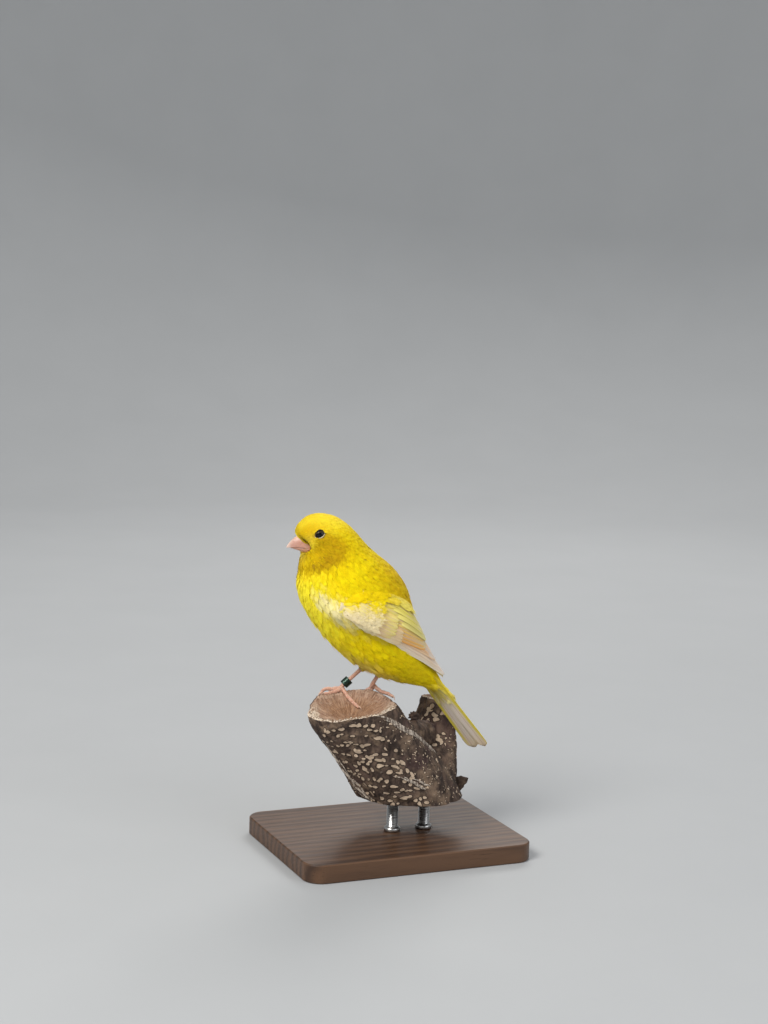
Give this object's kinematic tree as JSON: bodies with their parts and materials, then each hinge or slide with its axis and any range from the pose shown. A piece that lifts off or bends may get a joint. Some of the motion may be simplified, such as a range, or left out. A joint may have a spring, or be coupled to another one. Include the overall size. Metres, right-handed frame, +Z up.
{
  "type": "canary",
  "caption": "Life-size yellow canary standing on the sawn end of a forked branch, its head turned, with a ring on one leg, on a plain display stand.",
  "frame": {"origin": "middle of the display stand's underside", "axes": "+Z up, the bird's body heads towards -Y and its left side is +X"},
  "size_m": [0.08, 0.104, 0.147],
  "materials": {
    "body_feathers": "soft feathers",
    "flight_feathers": "smooth feathers",
    "bill": "horn",
    "leg_skin": "scaled skin",
    "eye": "wet",
    "ring": "glossy",
    "branch": "bark and sawn wood",
    "stand_wood": "dark and satin",
    "stand_metal": "brushed"
  },
  "bodies": {
    "root": {"head": "body_feathers", "neck": "body_feathers", "torso": "body_feathers", "thigh_left": "body_feathers", "thigh_right": "body_feathers", "wing_left": "flight_feathers", "wing_right": "flight_feathers", "tail": "flight_feathers", "bill_upper": "bill", "bill_lower": "bill", "eye_left": "eye", "eye_right": "eye", "leg_left": "leg_skin", "leg_right": "leg_skin", "foot_left": "leg_skin", "foot_right": "leg_skin", "leg_ring": "ring", "perch": "branch", "stand_base": "stand_wood", "stand_rod_1": "stand_metal", "stand_rod_2": "stand_metal"}
  },
  "joints": []
}
